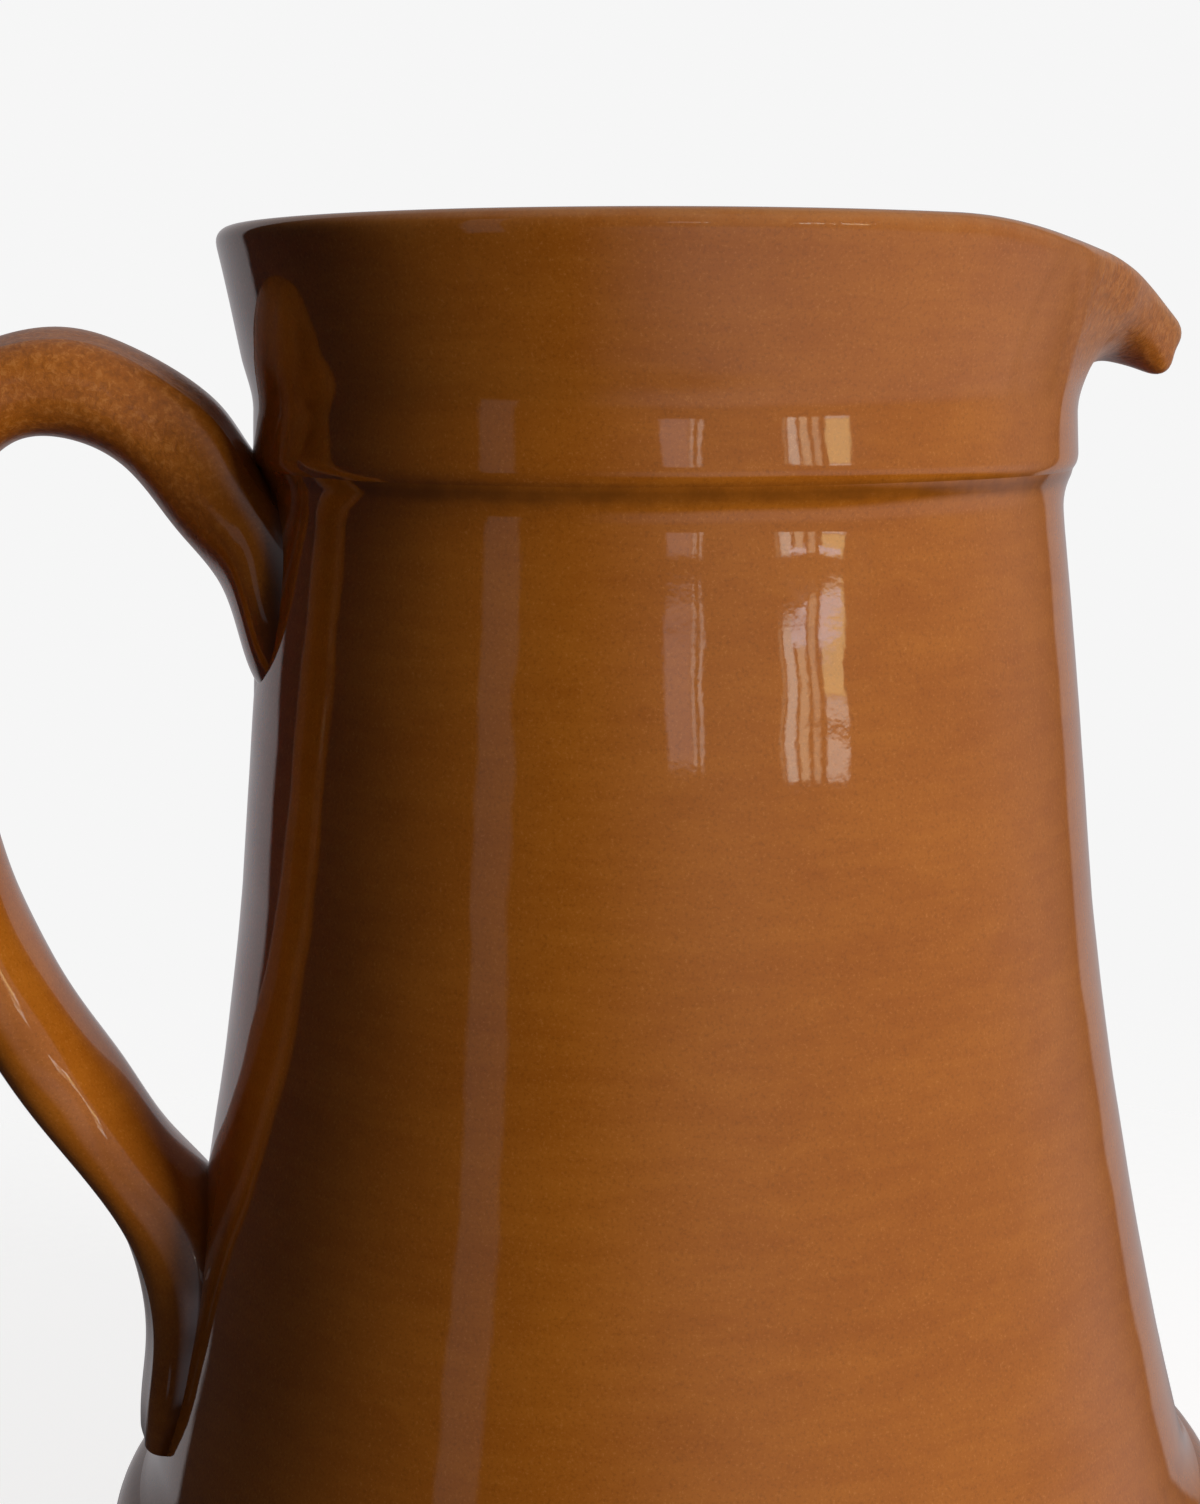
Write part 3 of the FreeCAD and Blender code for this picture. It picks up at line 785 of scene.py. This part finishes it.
def handle_grid(stations, columns):
    """Points of the pulled strap: rows down its length, columns round its section."""
    middles = (HANDLE_STATIONS[:, :2] + HANDLE_STATIONS[:, 2:4]) / 2
    lengths = np.r_[0, np.cumsum(np.linalg.norm(np.diff(middles, axis=0), axis=1))]
    places = stations * lengths[-1]
    rows = spline(lengths, HANDLE_STATIONS, places)
    middle = (rows[:, :2] + rows[:, 2:4]) / 2
    half = (rows[:, :2] - rows[:, 2:4]) / 2
    turn = np.linspace(0, 2 * math.pi, columns, endpoint=False)
    power = 2 / HANDLE_SQUARENESS
    deep = np.sign(np.cos(turn)) * np.abs(np.cos(turn)) ** power
    wide = np.sign(np.sin(turn)) * np.abs(np.sin(turn)) ** power
    share = stations[:, None]
    lower = ease((share - 0.45) / 0.25)
    ridge = 0.055 * lower * np.exp(-(wide[None, :] / 0.30) ** 2) * np.cos(turn)[None, :]
    hollow = -0.05 * np.exp(-((np.abs(wide[None, :]) - 0.55) / 0.22) ** 2) * (deep[None, :] > 0)
    across = rows[:, 4:5] / 2 * wide[None, :]
    squeezed = 1 + 0.02 * np.sin(9 * share * math.pi + 1.0) + 0.012 * np.sin(23 * share * math.pi)
    reach = (deep[None, :] - 0.055 * (deep[None, :] > 0.8)) * 0.985 + ridge + hollow
    plane = middle[:, None, :] + half[:, None, :] * reach[..., None]
    lump = 0.10 * np.sin(31 * share + 3 * turn[None, :])
    lump = lump + 0.09 * np.sin(57 * share - 2 * turn[None, :] + 1.3)
    out = half / np.linalg.norm(half, axis=1, keepdims=True)
    plane = plane + out[:, None, :] * (lump * np.sign(deep)[None, :])[..., None]
    return np.stack([-plane[..., 0], across * squeezed, plane[..., 1]], axis=-1)


def seated(grid, sunk=1.6):
    """Points that lie deep inside the jug's wall, brought out to just under its face."""
    angle = np.arctan2(grid[..., 1], grid[..., 0])
    radius = np.hypot(grid[..., 0], grid[..., 1])
    wall = wall_radius(angle, grid[..., 2]) - sunk
    new = np.maximum(radius, wall)
    result = grid.copy()
    result[..., 0] = new * np.cos(angle)
    result[..., 1] = new * np.sin(angle)
    return result, radius - wall


def make_handle():
    """The pulled strap handle, its two ends pressed into the wall."""
    stations = np.linspace(0, 1, 300)
    grid, clear = seated(handle_grid(stations, 96))
    wide = np.concatenate([grid[:, -1:], grid, grid[:, :1]], axis=1)
    along = np.gradient(grid, axis=0)
    normals = np.cross(wide[:, 2:] - wide[:, :-2], along)
    normals /= np.linalg.norm(normals, axis=-1, keepdims=True) + 1e-12
    clay = Clay()
    # Painted shade: the glaze darkens towards near black where the strap sinks into the wall, partly as
    # pooling and partly as shade painted into the joint.
    crease_shade = 0.85 * np.exp(-np.maximum(clear - 1.2, 0) / 1.8)
    coarse = ease((0.46 - stations) / 0.14)[:, None] * ease((stations - 0.06) / 0.08)[:, None]
    numbers = clay.lay(grid, crease_shade, coarse)
    numbers, normals = wrapped(numbers, normals)
    clay.skin(numbers, normals)
    clay.cap(numbers[0, :-1], flip=True)
    clay.cap(numbers[-1, :-1])
    return clay.piece("handle_strap", "handle", GLAZE)


def make_pad(name, node, half_width, thickness):
    """A smear of clay that beds an end of the handle on the wall, feathered to nothing at its edge."""
    low, high = box_mm(node)
    middle, half_height = (low[2] + high[2]) / 2, (high[2] - low[2]) / 2
    shares = np.sin(np.linspace(0, math.pi / 2, 26))
    turn = np.radians(np.arange(0, 360, 4.0))
    radius = -low[0]
    wobble = 1 + 0.05 * np.sin(3 * turn + 0.6) + 0.035 * np.sin(5 * turn + 2.0)
    span = shares[:, None] * wobble[None, :] / wobble.max()
    angle = HANDLE_ANGLE + span * np.cos(turn) * half_width / radius
    height = middle + span * np.sin(turn) * half_height
    face = wall_radius(angle, height)
    over = thickness * (1 - shares[:, None] ** 2) ** 1.5

    def placed(distance):
        return np.stack([distance * np.cos(angle), distance * np.sin(angle), height], axis=-1)

    clay = Clay()
    top = placed(face + over - 0.12 * shares[:, None] ** 8)
    bottom = placed(face - 1.0)
    grid = np.concatenate([top[1:], bottom[1:][::-1]])
    # Painted shade: the whole smear is darkened, as glaze pooled and shade painted at the handle's root.
    numbers = clay.lay(grid, 0.55)
    numbers = np.c_[numbers, numbers[:, :1]]
    wide = np.concatenate([grid[:, -1:], grid, grid[:, :1]], axis=1)
    normals = np.cross(np.gradient(grid, axis=0), wide[:, 2:] - wide[:, :-2])
    normals /= np.linalg.norm(normals, axis=-1, keepdims=True) + 1e-12
    normals = np.concatenate([normals, normals[:, :1]], axis=1)
    rows = len(shares) - 1
    clay.skin(numbers[:rows], normals[:rows], flip=True)
    clay.skin(numbers[rows - 1:], None, flip=True)
    clay.cap(numbers[0, :-1])
    clay.cap(numbers[-1, :-1], flip=True)
    return clay.piece(name, node, GLAZE)


make_handle()
make_pad("upper_root_smear", "upper_luting_pad", 18.5, 0.7)
make_pad("lower_root_smear", "lower_luting_pad", 20.0, 0.7)

# ---------------------------------------------------------------- camera

CAMERA_DISTANCE = 0.360
CAMERA_HEIGHT = 0.2272
HANDLE_TURN = math.radians(9.0)
CAMERA_YAW = math.radians(1.594)
CAMERA_TILT = math.radians(9.62)
CAMERA_ROLL = math.radians(0.164)
camera_data = bpy.data.cameras.new("camera")
camera_data.lens = 56.42
camera_data.sensor_width = 36.0
camera_data.clip_start = 0.01
camera = bpy.data.objects.new("camera", camera_data)
bpy.context.scene.collection.objects.link(camera)
camera.matrix_world = (
    Matrix.Rotation(-HANDLE_TURN, 4, "Z")
    @ Matrix.Translation((0.0, -CAMERA_DISTANCE, CAMERA_HEIGHT))
    @ Matrix.Rotation(CAMERA_YAW, 4, "Z")
    @ Matrix.Rotation(math.pi / 2 - CAMERA_TILT, 4, "X")
    @ Matrix.Rotation(CAMERA_ROLL, 4, "Z"))
bpy.context.scene.camera = camera

# ---------------------------------------------------------------- studio

PALE = (0.922, 0.922, 0.922, 1)


def make_floor():
    """A wide pale floor that fades out far from the jug."""
    radii = np.r_[0.02, np.linspace(0.15, 3.0, 12)]
    turn = np.radians(np.arange(0, 360, 6.0))
    points = np.stack([radii[:, None] * np.cos(turn), radii[:, None] * np.sin(turn),
                       np.zeros((len(radii), len(turn)))], axis=-1).reshape(-1, 3)
    numbers = np.arange(len(points)).reshape(len(radii), len(turn))
    numbers = np.c_[numbers, numbers[:, :1]]
    faces = np.stack([numbers[:-1, :-1], numbers[1:, :-1], numbers[1:, 1:], numbers[:-1, 1:]], axis=-1)
    mesh = bpy.data.meshes.new("floor")
    mesh.from_pydata(points.tolist(), [], faces.reshape(-1, 4).tolist() + [numbers[0, :-1].tolist()])
    made = bpy.data.materials.new("pale_floor")
    made.use_nodes = True
    tree = made.node_tree
    tree.nodes.clear()
    place = add(tree, "ShaderNodeTexCoord").outputs["Object"]
    away = add(tree, "ShaderNodeVectorMath", {0: place}, operation="LENGTH").outputs["Value"]
    grain = noise(tree, place, 300.0, 2.0)
    tone = mixed(tree, grain, (0.44, 0.44, 0.445, 1), (0.48, 0.48, 0.48, 1))
    diffuse = add(tree, "ShaderNodeBsdfDiffuse", {"Color": tone})
    glow = add(tree, "ShaderNodeEmission", {
        "Color": (1, 1, 1, 1), "Strength": calc(tree, "MULTIPLY", add(
            tree, "ShaderNodeLightPath").outputs["Is Camera Ray"], FLOOR_GLOW)})
    lit = add(tree, "ShaderNodeAddShader", {0: diffuse.outputs[0], 1: glow.outputs[0]})
    clear = add(tree, "ShaderNodeBsdfTransparent")
    both = add(tree, "ShaderNodeMixShader", {
        "Fac": ranged(tree, away, *FLOOR_FADE), 1: lit.outputs[0], 2: clear.outputs[0]})
    output = add(tree, "ShaderNodeOutputMaterial")
    tree.links.new(both.outputs[0], output.inputs[0])
    mesh.materials.append(made)
    floor = bpy.data.objects.new("floor", mesh)
    floor.location.z = -0.0002
    bpy.context.scene.collection.objects.link(floor)
    floor.visible_glossy = False


# Patches of light all round, as the glaze mirrors them. Bearings are in degrees to the right of
# the direction from the jug to the camera, elevations in degrees above the horizon.
WINDOW = (
    # first, last bearing; lowest, highest elevation; soft edges of each; colour; brightness
    (30.9, 31.7, 0.7, 6.4, 0.3, 0.3, (1.00, 0.86, 0.66), 1.6),
    (32.3, 35.0, 0.7, 6.4, 0.3, 0.3, (0.88, 0.90, 0.80), 4.4),
    (36.0, 38.4, 0.7, 6.2, 0.3, 0.3, (1.00, 0.86, 0.62), 3.6),
    (39.6, 41.4, 0.7, 6.4, 0.3, 0.3, (1.00, 0.84, 0.62), 3.0),
    (43.2, 49.6, 0.7, 2.0, 0.3, 0.3, (0.92, 0.90, 0.80), 4.2),
    (43.2, 49.6, 2.2, 6.4, 0.3, 0.3, (1.00, 0.80, 0.42), 4.8),
    (34.4, 38.9, 5.2, 6.2, 0.2, 0.2, (0.86, 0.92, 1.00), 5.0),
    (42.6, 48.9, 5.0, 6.2, 0.2, 0.2, (0.86, 0.92, 1.00), 5.0),
)
HAZE = (
    (-2, 125, -26, 60, 26.0, 7.0, (0.90, 0.92, 1.00), 0.42),
    (0, 110, -27, -11, 26.0, 5.0, (0.96, 0.90, 1.00), 0.66),
    (0.5, 7.3, 0.7, 6.4, 0.6, 0.6, (0.94, 0.90, 1.00), 1.15),
    (7.5, 8.3, 0.7, 6.4, 0.25, 0.4, (1.0, 0.92, 0.84), 2.6),
    (9.4, 10.3, 0.7, 6.4, 0.25, 0.4, (1.0, 0.92, 0.84), 2.8),
    (-49.8, -39.6, -17.5, 30, 0.9, 1.5, (0.74, 0.86, 1.00), 0.26),
    (137, 229.5, -24, 70, 1.5, 4.0, (1.00, 0.95, 0.98), 0.42),
)
AMBIENT = (0.020, 0.020, 0.024, 1)
OVERHEAD = (0.26, 0.25, 0.26, 1)
# Soft lights: name, side, distance, bearing to the right of the camera, elevation, power. The last
# stands behind the jug, so that its far side isn't in the dark.
LIGHTS = (
    ("window", 0.5, 1.6, 47.5, 13.0, 19.6),
    ("ceiling", 1.6, 1.8, 0.0, 90.0, 6.0),
    ("far_wall", 0.8, 1.8, 180.0, 8.0, 9.0),
)
LIGHT_TINT = (1.0, 0.97, 0.94)
LIGHT_AIM = 0.15
# The floor's own glow for the camera, and the distances over which it fades into the backdrop.
FLOOR_GLOW = 0.775
FLOOR_FADE = (0.14, 0.55)


def make_world():
    """The room, as brightness and colour by direction. The camera itself sees a plain pale backdrop."""
    world = bpy.data.worlds.new("studio")
    bpy.context.scene.world = world
    world.use_nodes = True
    tree = world.node_tree
    tree.nodes.clear()
    direction = add(tree, "ShaderNodeTexCoord").outputs["Generated"]
    turned = add(tree, "ShaderNodeVectorRotate", {
        "Vector": direction, "Axis": (0, 0, 1), "Angle": math.pi / 2 + HANDLE_TURN}).outputs[0]
    parts = add(tree, "ShaderNodeSeparateXYZ", {0: turned}).outputs
    bearing = calc(tree, "MULTIPLY", calc(tree, "ARCTAN2", parts[1], parts[0]), 180 / math.pi)
    around = calc(tree, "WRAP", bearing, 270.0, -90.0)
    elevation = calc(tree, "MULTIPLY", calc(tree, "ARCSINE", parts[2]), 180 / math.pi)
    total = mixed(tree, ranged(tree, elevation, 25.0, 65.0), AMBIENT, OVERHEAD)
    for first, last, low, high, soft, soft_up, tint, power in HAZE + WINDOW:
        side = around if last > 180 or first > 100 else bearing
        share = calc(tree, "MULTIPLY", ranged(tree, side, first - soft, first + soft),
                     ranged(tree, side, last - soft, last + soft, 1.0, 0.0))
        share = calc(tree, "MULTIPLY", share, ranged(tree, elevation, low - soft_up, low + soft_up))
        share = calc(tree, "MULTIPLY", share,
                     ranged(tree, elevation, high - soft_up, high + soft_up, 1.0, 0.0))
        total = mixed(tree, share, total, tuple(power * part for part in tint) + (1,))
    seen = add(tree, "ShaderNodeLightPath").outputs["Is Camera Ray"]
    room = add(tree, "ShaderNodeBackground", {"Color": total, "Strength": 1.0})
    backdrop = add(tree, "ShaderNodeBackground", {"Color": PALE, "Strength": 1.0})
    both = add(tree, "ShaderNodeMixShader", {"Fac": seen, 1: room.outputs[0], 2: backdrop.outputs[0]})
    output = add(tree, "ShaderNodeOutputWorld")
    tree.links.new(both.outputs[0], output.inputs[0])
    world.cycles_visibility.diffuse = False
    world.cycles.sampling_method = "MANUAL"
    world.cycles.sample_map_resolution = 1024


def make_lights():
    """Soft lights for the body colour. What the glaze mirrors is the room's patches of light instead."""
    for name, side, distance, bearing, elevation, power in LIGHTS:
        data = bpy.data.lights.new(name, "AREA")
        data.size = side
        data.energy = power
        data.color = LIGHT_TINT
        light = bpy.data.objects.new(name, data)
        bpy.context.scene.collection.objects.link(light)
        turn = math.radians(bearing) - math.pi / 2 - HANDLE_TURN
        rise = math.radians(elevation)
        away = Vector((math.cos(turn) * math.cos(rise), math.sin(turn) * math.cos(rise), math.sin(rise)))
        light.location = away * distance + Vector((0, 0, LIGHT_AIM))
        light.rotation_euler = away.to_track_quat("Z", "Y").to_euler()
        light.visible_glossy = False
        light.visible_camera = False


make_floor()
make_world()
make_lights()
bpy.context.scene.view_settings.view_transform = "Standard"
bpy.context.scene.cycles.use_denoising = True
